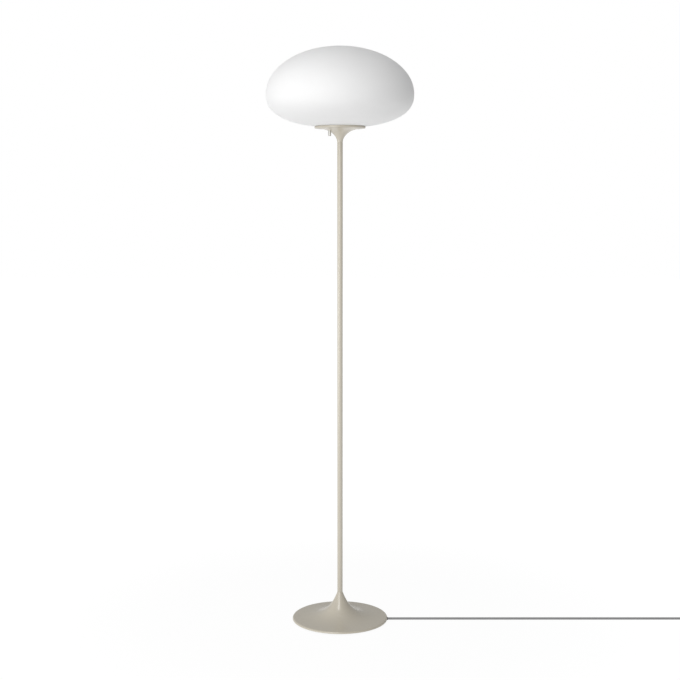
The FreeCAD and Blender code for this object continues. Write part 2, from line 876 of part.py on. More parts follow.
def make_switched_core():
    """Core from the dimmer back to the insert."""
    route = [
        Vector(dimmer_face, switched_y, wire_level),
        Vector(switched_x, switched_y, wire_level),
        Vector(switched_x, switched_y, holder_spigot_z),
    ]
    return tube_on(routed_edges(route, "switched core"), core_radius)


# ---------------------------------------------------------------- free cord and plug
def make_cord_run():
    """Stretch of cord that lies straight on the floor."""
    length = coil_x - cord_diameter - cord_exit_x
    start = Vector(cord_exit_x, cord_y, cord_radius)
    return Part.makeCylinder(cord_radius, length, start, Vector(1, 0, 0))


def coil_edges():
    """Centre line of the coil: in on the floor, a climb, out on top, then the tail.

    Every half turn is half a circle whose centre steps from side to side, so
    the turns stay one pitch apart.
    """
    step = coil_pitch / 2
    start = Vector(coil_x - cord_diameter, cord_y, cord_radius)
    here = Vector(coil_x, cord_y, cord_radius)
    edges = [Part.makeLine(start, here)]
    side = 1
    radius = coil_outer_radius
    for _ in range(coil_half_turns):
        edges.append(half_turn(here, side, radius))
        here = here + Vector(0, side * 2 * radius, 0)
        side = -side
        radius -= step
    across = here + Vector(0, side * 2 * radius, coil_pitch)
    edges += biarc_edges(here, Vector(side, 0, 0), across, Vector(-side, 0, 0))
    here = across
    side = -side
    for _ in range(coil_half_turns - 1):
        radius += step
        edges.append(half_turn(here, side, radius))
        here = here + Vector(0, side * 2 * radius, 0)
        side = -side
    last_radius = radius + step
    edges.append(quarter_turn(here, last_radius))
    here = here + Vector(last_radius, last_radius, 0)
    north = Vector(0, 1, 0)
    drop_start = here + north * tail_start
    drop_end = Vector(here.x, drop_start.y + tail_drop_length, plug_z)
    edges.append(Part.makeLine(here, drop_start))
    edges += biarc_edges(drop_start, north, drop_end, north)
    edges.append(Part.makeLine(drop_end, drop_end + north * tail_end))
    return edges


def half_turn(start, side, radius):
    """Half circle to the left; side is 1 on the way up and -1 on the way down."""
    middle = start + Vector(side * radius, side * radius, 0)
    return Part.Arc(start, middle, start + Vector(0, side * 2 * radius, 0)).toShape()


def quarter_turn(start, radius):
    """Quarter circle to the left that starts towards +X."""
    lean = radius * math.sqrt(0.5)
    middle = start + Vector(lean, radius - lean, 0)
    return Part.Arc(start, middle, start + Vector(radius, radius, 0)).toShape()


def make_cord_coil():
    """Stowed length of the cord in one unbroken tube, with its tail to the plug."""
    edges = coil_edges()
    coil = tube_on(edges, cord_radius)
    length = sum(edge.Length for edge in edges)
    print("coil length", round(length, 1), "least gap", round(least_gap(edges, cord_diameter), 2))
    print("coil volume over section times length",
          round(coil.Volume / (math.pi * cord_radius ** 2 * length), 4))
    return coil


def make_plug_relief():
    """Tapered sleeve where the cord enters the plug."""
    return Part.makeCone(relief_radius, relief_root_radius, relief_length,
                         Vector(tail_x, tail_end_y, plug_z), Vector(0, 1, 0))


def plug_section(y, width, thickness):
    """Rounded rectangle across the plug."""
    x_limits = (tail_x - width / 2, tail_x + width / 2)
    z_limits = (plug_z - thickness / 2, plug_z + thickness / 2)
    corners = [Vector(x, y, z) for x, z in (
        (x_limits[0], z_limits[0]), (x_limits[1], z_limits[0]),
        (x_limits[1], z_limits[1]), (x_limits[0], z_limits[1]))]
    edges = []
    lean = plug_round * (1 - math.sqrt(0.5))
    for i, corner in enumerate(corners):
        before = (corners[i - 1] - corner).normalize()
        after = (corners[(i + 1) % 4] - corner).normalize()
        arc_start = corner + before * plug_round
        arc_end = corner + after * plug_round
        edges.append(Part.Arc(arc_start, corner + (before + after) * lean, arc_end).toShape())
        following = corners[(i + 1) % 4] - after * plug_round
        edges.append(Part.makeLine(arc_end, following))
    return Part.Wire(edges)


def make_plug_body():
    """Flat two-pin plug: it widens from the cord, and its pin face is full size."""
    shoulder_y = plug_back_y + plug_length * plug_shoulder_share
    neck = plug_section(plug_back_y, plug_neck_width, plug_neck_thickness)
    shoulder = plug_section(shoulder_y, plug_width, plug_thickness)
    face = plug_section(plug_face_y, plug_face_width, plug_thickness)
    body = Part.makeLoft([neck, shoulder, face], True, True)
    for x in pin_places():
        hole = Part.makeCylinder(pin_core_radius, pin_root, Vector(x, plug_face_y - pin_root, plug_z),
                                 Vector(0, 1, 0))
        body = body.cut(hole)
    return body


def pin_places():
    """Places of the two pins along X."""
    return [tail_x - pin_spacing / 2, tail_x + pin_spacing / 2]


def make_plug_pins():
    """Two brass pins, thinner where the sleeve covers them, with domed tips."""
    pins = []
    axis = Vector(0, 1, 0)
    for x in pin_places():
        root = Vector(x, plug_face_y - pin_root, plug_z)
        neck = Part.makeCylinder(pin_core_radius, pin_root + pin_sleeve_length, root, axis)
        bare = Vector(x, plug_face_y + pin_sleeve_length, plug_z)
        end = Part.makeCylinder(pin_radius, pin_length - pin_sleeve_length, bare, axis)
        tip = [edge for edge in end.Edges if edge.BoundBox.YMin > bare.y + pin_round]
        pins.append(neck.fuse(end.makeFillet(pin_round, tip)))
    return Part.makeCompound(pins)


def make_pin_sleeves():
    """Insulating sleeves on the roots of the pins."""
    sleeves = []
    for x in pin_places():
        root = Vector(x, plug_face_y, plug_z)
        axis = Vector(0, 1, 0)
        outer = Part.makeCylinder(pin_sleeve_radius, pin_sleeve_length, root, axis)
        inner = Part.makeCylinder(pin_core_radius, pin_sleeve_length, root, axis)
        sleeves.append(outer.cut(inner))
    return Part.makeCompound(sleeves)


# ---------------------------------------------------------------- write the sub-parts
nodes = {
    "base_cover": make_base_cover,
    "base_weight": make_base_weight,
    "bottom_plate": make_bottom_plate,
    "bottom_plate_screws": make_plate_screws,
    "foot_ring": make_foot_ring,
    "cord_exit_bush": make_exit_bush,
    "cord_clamp": make_cord_clamp,
    "cord_clamp_screws": make_clamp_screws,
    "lower_nipple": make_lower_nipple,
    "lower_washer": make_lower_washer,
    "lower_nut": make_lower_nut,
    "stem_tube": make_stem_tube,
    "upper_nipple": make_upper_nipple,
    "collar": make_collar,
    "shade_plate": make_shade_plate,
    "plate_washer": make_plate_washer,
    "plate_nut": make_plate_nut,
    "shade_gasket": make_shade_gasket,
    "opal_shade": make_opal_shade,
    "dimmer_body": make_dimmer_body,
    "dimmer_bush": make_dimmer_bush,
    "dimmer_nut": make_dimmer_nut,
    "dimmer_spindle": make_dimmer_spindle,
    "dimmer_knob": make_dimmer_knob,
    "holder_cap": make_holder_cap,
    "holder_insert": make_holder_insert,
    "holder_skirt": make_holder_skirt,
    "holder_thread_shell": make_thread_shell,
    "holder_centre_contact": make_centre_contact,
    "bulb_tip": make_bulb_tip,
    "bulb_insulator": make_bulb_insulator,
    "bulb_cap": make_bulb_cap,
    "bulb_body": make_bulb_body,
    "bulb_dome": make_bulb_dome,
    "inner_lead": make_inner_lead,
    "neutral_core": make_neutral_core,
    "live_core": make_live_core,
    "switched_core": make_switched_core,
    "cord_run": make_cord_run,
    "cord_coil": make_cord_coil,
    "plug_relief": make_plug_relief,
    "plug_body": make_plug_body,
    "plug_pins": make_plug_pins,
    "plug_pin_sleeves": make_pin_sleeves,
}

os.makedirs("parts", exist_ok=True)
for name, make in nodes.items():
    shape = make()
    shape.exportStep("parts/" + name + ".step")
    print(name, "solids", len(shape.Solids), "valid", shape.isValid(), "cm3",
          round(shape.Volume / 1000, 2))
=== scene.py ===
import math

import bpy
import numpy as np
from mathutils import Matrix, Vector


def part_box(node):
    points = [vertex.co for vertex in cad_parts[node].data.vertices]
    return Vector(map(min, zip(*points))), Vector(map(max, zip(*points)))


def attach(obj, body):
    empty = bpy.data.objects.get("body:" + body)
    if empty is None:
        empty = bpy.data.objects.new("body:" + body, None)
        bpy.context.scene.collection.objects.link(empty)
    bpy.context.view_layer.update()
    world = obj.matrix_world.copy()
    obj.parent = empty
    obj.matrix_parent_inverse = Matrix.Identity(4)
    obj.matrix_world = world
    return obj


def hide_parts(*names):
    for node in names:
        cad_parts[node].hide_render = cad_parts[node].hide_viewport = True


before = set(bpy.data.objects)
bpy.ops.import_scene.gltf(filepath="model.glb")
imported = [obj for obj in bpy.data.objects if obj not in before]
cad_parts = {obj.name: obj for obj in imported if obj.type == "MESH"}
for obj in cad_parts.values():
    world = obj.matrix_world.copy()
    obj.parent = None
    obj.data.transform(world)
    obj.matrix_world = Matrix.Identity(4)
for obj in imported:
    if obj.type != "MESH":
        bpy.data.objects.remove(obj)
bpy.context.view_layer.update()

scene = bpy.context.scene
scene.view_settings.view_transform = "Standard"

# ------------------------------------------------------------------ camera
# The viewer stands about three metres away, a little below the shade, and
# looks slightly down, so that the base shows its upper side.
LOOK_DOWN = 6.5
camera_data = bpy.data.cameras.new("camera")
camera_data.lens = 65.82
camera_data.sensor_width = 36.0
camera_data.clip_end = 60.0
camera = bpy.data.objects.new("camera", camera_data)
camera.location = (0.0, -3.219, 1.117)
camera.rotation_euler = (math.radians(90.0 - LOOK_DOWN), 0.0, 0.0)
scene.collection.objects.link(camera)
scene.camera = camera

# ------------------------------------------------------------------ mains cord
# Round cable with a soft grey sheath, about 2.3 m from the base's rim to the
# plug. It lies straight on the floor, and its spare length is wound into two
# flat layers: inwards on the floor, then outwards on top.
CORD_DIAMETER = 0.006
CORD_EXIT = (0.1272, -0.0065, 0.003)
RUN_STRAIGHT = 0.036
RUN_MIDDLE = 0.55
COIL_X = 0.990
COIL_RADIUS = 0.045
COIL_PITCH = 0.0066
HALF_TURNS_IN = 6
HALF_TURNS_OUT = 5
TURN_POINTS = 16
PLUG_AXIS_HEIGHT = 0.00685


def arc_controls(centre, radius, first, sweep, low, high):
    """Control points of an arc to the left, in floor coordinates and height.

    Each lies at the middle of its share of the angle, and outside the arc by
    one over the cosine of half that share, so the spline touches the arc at
    every border between shares. The height goes evenly from low to high.
    """
    count = int(round(TURN_POINTS * sweep / 360.0))
    share = np.radians(sweep) / count
    angle = np.radians(first) + share * (np.arange(count) + 0.5)
    reach = radius / np.cos(share / 2)
    rise = low + (high - low) * (np.arange(count) + 0.5) / count
    return np.column_stack([
        centre[0] + reach * np.cos(angle),
        centre[1] + reach * np.sin(angle),
        rise,
    ])


def cord_route():
    """The straight run, six half turns in, a climb, five out and the tail.

    Each half turn's radius is the coil's less half a pitch for every half turn
    that lies outside it.
    """
    floor = CORD_DIAMETER / 2
    upper = floor + COIL_PITCH
    exit_x, y = CORD_EXIT[:2]
    parts = [np.array([
        (exit_x, y, floor),
        (exit_x + RUN_STRAIGHT, y, floor),
        (RUN_MIDDLE, y, floor),
        (COIL_X - RUN_STRAIGHT, y, floor),
        (COIL_X - CORD_DIAMETER, y, floor),
    ])]
    half_turns = [(inside, floor, floor) for inside in range(HALF_TURNS_IN)]
    half_turns.append((HALF_TURNS_IN, floor, upper))
    half_turns += [(HALF_TURNS_IN - 1 - i, upper, upper) for i in range(HALF_TURNS_OUT)]
    side = 1
    for inside, low, high in half_turns:
        radius = COIL_RADIUS - inside * COIL_PITCH / 2
        centre = (COIL_X, y + side * radius)
        parts.append(arc_controls(centre, radius, -90 * side, 180, low, high))
        y, side = y + side * 2 * radius, -side
    y += COIL_RADIUS
    parts.append(arc_controls((COIL_X, y), COIL_RADIUS, -90, 90, upper, upper))
    tail_x = COIL_X + COIL_RADIUS
    parts.append(np.array([
        (tail_x, y + 0.008, upper),
        (tail_x, y + 0.018, upper),
        (tail_x, y + 0.028, PLUG_AXIS_HEIGHT),
        (tail_x, y + 0.038, PLUG_AXIS_HEIGHT),
        (tail_x, y + 0.044, PLUG_AXIS_HEIGHT),
    ]))
    return np.vstack(parts)


def new_material(name):
    """Empty node material and its tree."""
    material = bpy.data.materials.new(name)
    material.use_nodes = True
    material.node_tree.nodes.clear()
    return material, material.node_tree


def finish(name, colour, roughness, metallic=0.0, patch=30.0, tint=0.03,
           gloss_change=0.04, grain=1200.0, depth=0.00001):
    """One finish's material, and its shader.

    Colour is the given one times one minus or plus the tint, by a slow noise
    with that many patches to the metre. Roughness goes up and down with the
    same noise. The grain is a fine noise of that depth in metres.
    """
    material, tree = new_material(name)
    nodes, link = tree.nodes, tree.links.new
    shader = nodes.new("ShaderNodeBsdfPrincipled")
    out = nodes.new("ShaderNodeOutputMaterial")
    place = nodes.new("ShaderNodeTexCoord")
    slow = nodes.new("ShaderNodeTexNoise")
    slow.inputs["Scale"].default_value = patch
    slow.inputs["Detail"].default_value = 3.0
    mix = nodes.new("ShaderNodeMix")
    mix.data_type = "RGBA"
    mix.inputs[6].default_value = tuple(c * (1 - tint) for c in colour) + (1.0,)
    mix.inputs[7].default_value = tuple(min(c * (1 + tint), 1.0) for c in colour) + (1.0,)
    gloss = nodes.new("ShaderNodeMapRange")
    gloss.inputs["To Min"].default_value = roughness - gloss_change
    gloss.inputs["To Max"].default_value = roughness + gloss_change
    fine = nodes.new("ShaderNodeTexNoise")
    fine.inputs["Scale"].default_value = grain
    fine.inputs["Detail"].default_value = 2.0
    bump = nodes.new("ShaderNodeBump")
    bump.inputs["Strength"].default_value = 1.0
    bump.inputs["Distance"].default_value = depth
    shader.inputs["Metallic"].default_value = metallic
    link(place.outputs["Object"], slow.inputs["Vector"])
    link(place.outputs["Object"], fine.inputs["Vector"])
    link(slow.outputs["Fac"], mix.inputs[0])
    link(mix.outputs[2], shader.inputs["Base Color"])
    link(slow.outputs["Fac"], gloss.inputs["Value"])
    link(gloss.outputs[0], shader.inputs["Roughness"])
    link(fine.outputs["Fac"], bump.inputs["Height"])
    link(bump.outputs[0], shader.inputs["Normal"])
    link(shader.outputs[0], out.inputs["Surface"])
    return material, shader


route = cord_route()
cord_curve = bpy.data.curves.new("mains_cord", "CURVE")
cord_curve.dimensions = "3D"
spline = cord_curve.splines.new("NURBS")
spline.points.add(len(route) - 1)
spline.points.foreach_set("co", np.column_stack([route, np.ones(len(route))]).ravel())
spline.points.foreach_set("radius", np.full(len(route), CORD_DIAMETER / 2))
spline.order_u = 3
spline.use_endpoint_u = True
cord_curve.resolution_u = 6
cord_curve.bevel_depth = 1.0
cord_curve.bevel_resolution = 5
cord_curve.use_fill_caps = True
sheath, _ = finish("cord_sheath", (0.255, 0.255, 0.258), 0.62, patch=60, tint=0.05,
                   grain=2600, depth=0.00001)
cord_curve.materials.append(sheath)
mains_cord = bpy.data.objects.new("mains_cord", cord_curve)
scene.collection.objects.link(mains_cord)
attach(mains_cord, "stand")
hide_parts("cord_run", "cord_coil")

# ------------------------------------------------------------------ floor and light
# A seamless pale floor under plain studio light: soft boxes in front, above it
# and on the left, high and low, and a pale room that is darker on the right.
# The floor looks white, most so away from the lamp, and still takes its shadow.
FLOOR_HALF = 14.0
FLOOR_GLOW = 1.03
FLOOR_GLOW_SHARE = 0.60
FADE_FROM, FADE_TO, FADE_SHARE = 0.35, 1.3, 0.90
ROOM_LEVEL, ROOM_SLOPE = 0.48, -0.18


def maths(tree, operation, *values):
    """Output of a Math node, with each input linked to an output or set to a number."""
    node = tree.nodes.new("ShaderNodeMath")
    node.operation = operation
    for socket, value in zip(node.inputs, values):
        if isinstance(value, bpy.types.NodeSocket):
            tree.links.new(value, socket)
        else:
            socket.default_value = value
    return node.outputs[0]


floor_material, tree = new_material("studio_floor")
nodes, link = tree.nodes, tree.links.new
ray = nodes.new("ShaderNodeLightPath").outputs
place = nodes.new("ShaderNodeTexCoord")
distance = nodes.new("ShaderNodeVectorMath")
distance.operation = "LENGTH"
fade = nodes.new("ShaderNodeMapRange")
fade.interpolation_type = "SMOOTHSTEP"
fade.inputs["From Min"].default_value = FADE_FROM
fade.inputs["From Max"].default_value = FADE_TO
fade.inputs["To Min"].default_value = FADE_SHARE
fade.inputs["To Max"].default_value = 1.0
lit = nodes.new("ShaderNodeBsdfDiffuse")
lit.inputs["Color"].default_value = (0.84, 0.84, 0.84, 1.0)
glow = nodes.new("ShaderNodeEmission")
glow.inputs["Color"].default_value = (1.0, 1.0, 1.0, 1.0)
glow.inputs["Strength"].default_value = FLOOR_GLOW
blend = nodes.new("ShaderNodeMixShader")
out = nodes.new("ShaderNodeOutputMaterial")
seen = maths(tree, "MAXIMUM", ray["Is Camera Ray"], ray["Is Glossy Ray"])
seen = maths(tree, "MAXIMUM", seen, ray["Is Transmission Ray"])
seen = maths(tree, "MAXIMUM", seen, FLOOR_GLOW_SHARE)
link(place.outputs["Object"], distance.inputs[0])
link(distance.outputs["Value"], fade.inputs["Value"])
link(maths(tree, "MULTIPLY", seen, fade.outputs[0]), blend.inputs[0])
link(lit.outputs[0], blend.inputs[1])
link(glow.outputs[0], blend.inputs[2])
link(blend.outputs[0], out.inputs["Surface"])
floor_material.cycles.emission_sampling = "NONE"
floor_mesh = bpy.data.meshes.new("studio_floor")
floor_mesh.from_pydata(
    [(-FLOOR_HALF, -FLOOR_HALF, 0), (FLOOR_HALF, -FLOOR_HALF, 0),
     (FLOOR_HALF, FLOOR_HALF, 0), (-FLOOR_HALF, FLOOR_HALF, 0)], [], [(0, 1, 2, 3)])
floor_mesh.materials.append(floor_material)
studio_floor = bpy.data.objects.new("studio_floor", floor_mesh)
scene.collection.objects.link(studio_floor)

world = bpy.data.worlds.new("studio")
scene.world = world
world.use_nodes = True
world.cycles.sampling_method = "NONE"
tree = world.node_tree
nodes, link = tree.nodes, tree.links.new
nodes.clear()
ray = nodes.new("ShaderNodeLightPath").outputs
towards = nodes.new("ShaderNodeTexCoord")
axes = nodes.new("ShaderNodeSeparateXYZ")
room = nodes.new("ShaderNodeBackground")
room.inputs["Color"].default_value = (1.0, 1.0, 1.0, 1.0)
white = nodes.new("ShaderNodeBackground")
white.inputs["Color"].default_value = (1.0, 1.0, 1.0, 1.0)
white.inputs["Strength"].default_value = 1.0
blend = nodes.new("ShaderNodeMixShader")
out = nodes.new("ShaderNodeOutputWorld")
link(towards.outputs["Generated"], axes.inputs[0])
room_level = maths(tree, "MULTIPLY_ADD", axes.outputs["X"], ROOM_SLOPE, ROOM_LEVEL)
link(room_level, room.inputs["Strength"])
link(ray["Is Camera Ray"], blend.inputs[0])
link(room.outputs[0], blend.inputs[1])
link(white.outputs[0], blend.inputs[2])
link(blend.outputs[0], out.inputs["Surface"])


def soft_box(name, place, target, width, height, power):
    """Area lamp that looks from its place at a target."""
    data = bpy.data.lights.new(name, "AREA")
    data.shape = "RECTANGLE"
    data.size, data.size_y, data.energy = width, height, power
    lamp = bpy.data.objects.new(name, data)
    lamp.location = place
    aim = np.array(target) - np.array(place)
    flat = math.hypot(aim[0], aim[1])
    lamp.rotation_euler = (math.atan2(flat, -aim[2]), 0.0, math.atan2(-aim[0], aim[1]))
    scene.collection.objects.link(lamp)


soft_box("front_box", (-0.80, -2.99, 2.3), (0.0, 0.0, 0.9), width=1.0, height=2.0, power=19.0)
soft_box("high_box", (-0.75, -2.07, 3.4), (0.0, 0.0, 1.0), width=1.2, height=1.2, power=17.0)
soft_box("left_box", (-1.72, -2.46, 1.3), (0.0, 0.0, 1.1), width=1.2, height=2.4, power=16.2)
soft_box("low_left_box", (-2.42, -1.40, 0.45), (0.0, 0.0, 1.0), width=1.6, height=0.8,
         power=11.5)

# ------------------------------------------------------------------ base, from below
# A matt black steel plate closes the iron weight from below, held by three
# pan-head screws with a cross recess. A soft foam-rubber ring is glued to it.
SCREW_COLUMNS = 96
SLOT_HALF_WIDTH, SLOT_HALF_LENGTH, SLOT_SLOPE, SLOT_DEPTH = 0.13, 0.56, 0.3, 0.7
HEAD_DROP = 0.55
SCREW_TIP = 0.35
PLATE_SCREW_CIRCLE = 0.060


def surface(name, points, body, material, node=None, capped=True, crease=35.0):
    """Closed mesh of a grid of points[row, column], whose rows close round.

    Each quad joins four neighbours. Where it is capped, the first and last
    rows are closed by fans to their middles, and otherwise they are joined.
    """
    rows, columns = points.shape[:2]
    index = np.arange(rows * columns).reshape(rows, columns)
    grid = index if capped else np.vstack([index, index[:1]])
    grid = np.hstack([grid, grid[:, :1]])
    quads = np.stack([grid[:-1, :-1], grid[:-1, 1:], grid[1:, 1:], grid[1:, :-1]], axis=-1)
    faces = quads.reshape(-1, 4).tolist()
    places = points.reshape(-1, 3)
    if capped:
        first, last, middle = index[0], index[-1], np.full(columns, rows * columns)
        places = np.vstack([places, points[0].mean(axis=0), points[-1].mean(axis=0)])
        faces += np.column_stack([middle, np.roll(first, -1), first]).tolist()
        faces += np.column_stack([middle + 1, last, np.roll(last, -1)]).tolist()
    mesh = bpy.data.meshes.new(name)
    mesh.from_pydata(places.tolist(), [], faces)
    mesh.polygons.foreach_set("use_smooth", np.ones(len(mesh.polygons), dtype=bool))
    mesh.set_sharp_from_angle(angle=math.radians(crease))
    mesh.materials.append(material)
    mesh.update()
    piece = bpy.data.objects.new(name, mesh)
    scene.collection.objects.link(piece)
    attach(piece, body)
    if node:
        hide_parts(node)
    return piece


def rounded(corners, steps=5):
    """Outline through corners (radius, height, rounding), as an array of points.

    A rounded corner is the curve that starts and ends at its rounding's
    distance from the corner and is drawn towards it: one minus t squared of
    the start, twice t times one minus t of the corner, t squared of the end.
    """
    corners = np.array(corners, dtype=float)
    t = np.linspace(0, 1, steps + 1)[:, None]
    parts = []
    for i, (radius, height, size) in enumerate(corners):
        here = np.array([radius, height])
        if size == 0:
            parts.append(here[None])
            continue
        before = corners[i - 1, :2] - here
        after = corners[(i + 1) % len(corners), :2] - here
        a = here + before / np.hypot(*before) * size
        b = here + after / np.hypot(*after) * size
        parts.append((1 - t) ** 2 * a + 2 * t * (1 - t) * here + t ** 2 * b)
    return np.vstack(parts)


def points_at(x, y, z):
    """Grid of points, from three arrays that together fill its rows and columns."""
    return np.stack(np.broadcast_arrays(x, y, z), axis=-1)


def around(reach, height, angle, centre=(0.0, 0.0)):
    """Grid of points at a reach and angle round an upright axis, at a height."""
    return points_at(centre[0] + reach * np.cos(angle), centre[1] + reach * np.sin(angle), height)


def turned(outline, columns, centre=(0.0, 0.0)):
    """Grid of points of an outline (radius, height) turned about an upright axis."""
    angle = np.linspace(0, 2 * np.pi, columns, endpoint=False)
    return around(outline[:, :1], outline[:, 1:], angle, centre)


def dress(material, *nodes):
    """Gives CAD nodes, whose shape is right as it is, their material."""
    for node in nodes:
        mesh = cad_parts[node].data
        mesh.materials.clear()
        mesh.materials.append(material)


def screws(name, node, places, seat, head, height, shank, reach):
    """Zinc-plated pan-head screws that point up, each with a cross recess.

    The head's skin is a shallow dome under the seat. The recess is two crossed
    slots, deepest at the middle, cut where a point is within half a slot's
    width of one axis and within half its length along the other.
    """
    radial = np.linspace(0.04, 1, 30)[:, None]
    angle = np.linspace(0, 2 * np.pi, SCREW_COLUMNS, endpoint=False)
    x, y = radial * np.cos(angle), radial * np.sin(angle)
    near = np.minimum(
        np.maximum(np.abs(x) / SLOT_HALF_WIDTH, np.abs(y) / SLOT_HALF_LENGTH),
        np.maximum(np.abs(y) / SLOT_HALF_WIDTH, np.abs(x) / SLOT_HALF_LENGTH))
    cut = np.clip((1 - near) / SLOT_SLOPE + 0.5, 0, 1) * (1 - 0.5 * np.hypot(x, y))
    skin = seat - height * (1 - radial ** 4 * HEAD_DROP) + cut * height * SLOT_DEPTH
    shank_outline = np.array([(head, seat), (shank, seat), (shank, seat + reach - shank),
                              (shank * SCREW_TIP, seat + reach)])
    for i, (px, py) in enumerate(places):
        dome = points_at(px + x * head, py + y * head, skin)
        rest = turned(shank_outline, SCREW_COLUMNS, (px, py))
        surface(f"{name}_{i + 1}", np.concatenate([dome, rest]), "stand", zinc,
                node if i == 0 else None)


plate_black, _ = finish("plate_black", (0.035, 0.035, 0.036), 0.55, patch=60, tint=0.15,
                        grain=1800, depth=0.00002)
dress(plate_black, "bottom_plate")
zinc, _ = finish("zinc_plate", (0.56, 0.57, 0.57), 0.34, metallic=1.0, patch=220, tint=0.10,
                 gloss_change=0.08, grain=2500, depth=0.000004)
plate_angles = np.radians([60, 180, 300])
plate_screw_places = PLATE_SCREW_CIRCLE * np.column_stack([np.cos(plate_angles),
                                                           np.sin(plate_angles)])
screws("bottom_plate_screw", "bottom_plate_screws", plate_screw_places,
       seat=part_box("bottom_plate")[0][2], head=0.0038, height=0.0014, shank=0.0020, reach=0.0082)
foam_rubber, _ = finish("foam_rubber", (0.030, 0.030, 0.031), 0.82, patch=120, tint=0.2,
                        grain=2600, depth=0.00006)
dress(foam_rubber, "foot_ring")

# ------------------------------------------------------------------ base and weight
# A sand-cast iron weight under a trumpet spun from steel sheet. The trumpet is
# powder coated in a warm light grey, semi-matte, like stem, collar and dish.
paint, paint_shader = finish("pebble_paint", (0.528, 0.486, 0.402), 0.25, patch=14, tint=0.012,
                             gloss_change=0.02, grain=900, depth=0.000002)
paint_shader.inputs["Specular IOR Level"].default_value = 1.0
dress(paint, "base_cover")
cast_iron, _ = finish("cast_iron", (0.055, 0.054, 0.053), 0.72, metallic=0.6, patch=90, tint=0.3,
                      gloss_change=0.1, grain=700, depth=0.00025)
dress(cast_iron, "base_weight")

# ------------------------------------------------------------------ cord exit and inner lead
# Dark edge bush in the rim's notch, and the steel strap that presses the cord
# up against the iron, on two small screws. Inside, the same cord goes on
# through base and stem as the inner lead.
CLAMP_SCREW_SPACING = 0.019
bush_grey, _ = finish("bush_grey", (0.10, 0.10, 0.10), 0.6, patch=200, grain=2200, depth=0.00001)
dress(bush_grey, "cord_exit_bush")
dress(zinc, "cord_clamp")
clamp_low, clamp_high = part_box("cord_clamp")
clamp_x, clamp_y = (clamp_low[0] + clamp_high[0]) / 2, (clamp_low[1] + clamp_high[1]) / 2
screws("cord_clamp_screw", "cord_clamp_screws",
       [(clamp_x, clamp_y - CLAMP_SCREW_SPACING / 2), (clamp_x, clamp_y + CLAMP_SCREW_SPACING / 2)],
       seat=clamp_low[2], head=0.0027, height=0.0010, shank=0.0015, reach=0.0080)
dress(sheath, "inner_lead")

# ------------------------------------------------------------------ stem
# Straight steel tube, 14 mm, its ends faced with a fine chamfer, so a hair
# line shows where it meets the trumpet below and the collar above. Each end is
# bored out for a threaded tube.
STEM_CHAMFER = 0.00025
STEM_BORE = 0.0045
STEM_TAP = 0.0051
STEM_TAP_DEPTH = 0.016
stem_low, stem_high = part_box("stem_tube")
stem_radius, z0, z1 = stem_high[0], stem_low[2], stem_high[2]
stem_outline = np.array([
    (STEM_TAP, z0),
    (stem_radius - STEM_CHAMFER, z0),
    (stem_radius, z0 + STEM_CHAMFER),
    (stem_radius, z0 + 0.25 * (z1 - z0)),
    (stem_radius, z0 + 0.50 * (z1 - z0)),
    (stem_radius, z0 + 0.75 * (z1 - z0)),
    (stem_radius, z1 - STEM_CHAMFER),
    (stem_radius - STEM_CHAMFER, z1),
    (STEM_TAP, z1),
    (STEM_TAP, z1 - STEM_TAP_DEPTH),
    (STEM_BORE, z1 - STEM_TAP_DEPTH),
    (STEM_BORE, z0 + STEM_TAP_DEPTH),
    (STEM_TAP, z0 + STEM_TAP_DEPTH),
])
surface("stem", turned(stem_outline, 96), "stand", paint, "stem_tube",
        capped=False)

# ------------------------------------------------------------------ threaded tubes and nuts
# Zinc-plated threaded tubes run through base, stem and dish. Pressed washers
# and chamfered hexagon nuts pull everything together.
THREAD_ROOM = 0.0051
NUT_FLATS = 0.014
NUT_COLUMNS = 144


def nut(name, node, flats, bore, material, centre=(0.0, 0.0)):
    """Hexagon nut with both faces chamfered.

    Its reach is half the flats over the cosine of the angle from the middle of
    the flat, or that of a cone of 30 degrees from the face, whichever is less.
    """
    low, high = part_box(node)[0][2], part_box(node)[1][2]
    angle = np.linspace(0, 2 * np.pi, NUT_COLUMNS, endpoint=False)
    from_flat = angle % (np.pi / 3) - np.pi / 6
    share = np.array([0, 0.05, 0.1, 0.16, 0.84, 0.9, 0.95, 1.0])[:, None]
    cone = flats * 0.49 + np.minimum(share, 1 - share) * (high - low) * math.sqrt(3)
    reach = np.minimum(flats / 2 / np.cos(from_flat), cone)
    reach = np.vstack([reach, np.full((2, NUT_COLUMNS), bore)])
    height = np.vstack([low + (high - low) * share, [[high]], [[low]]])
    surface(name, around(reach, height, angle, centre), "stand", material, node,
            capped=False, crease=20)


def washer(name, node):
    """Zinc-plated ring whose outer edges are rounded, in the box of its CAD node."""
    low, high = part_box(node)
    size = (high[2] - low[2]) * 0.3
    outline = rounded([
        (THREAD_ROOM, low[2], 0),
        (high[0], low[2], size),
        (high[0], high[2], size),
        (THREAD_ROOM, high[2], 0),
    ], 3)
    surface(name, turned(outline, 96), "stand", zinc, node, capped=False)


dress(zinc, "lower_nipple", "upper_nipple")
washer("lower_washer_pressed", "lower_washer")
washer("plate_washer_pressed", "plate_washer")
nut("lower_nut_chamfered", "lower_nut", NUT_FLATS, THREAD_ROOM, zinc)
nut("plate_nut_chamfered", "plate_nut", NUT_FLATS, THREAD_ROOM, zinc)

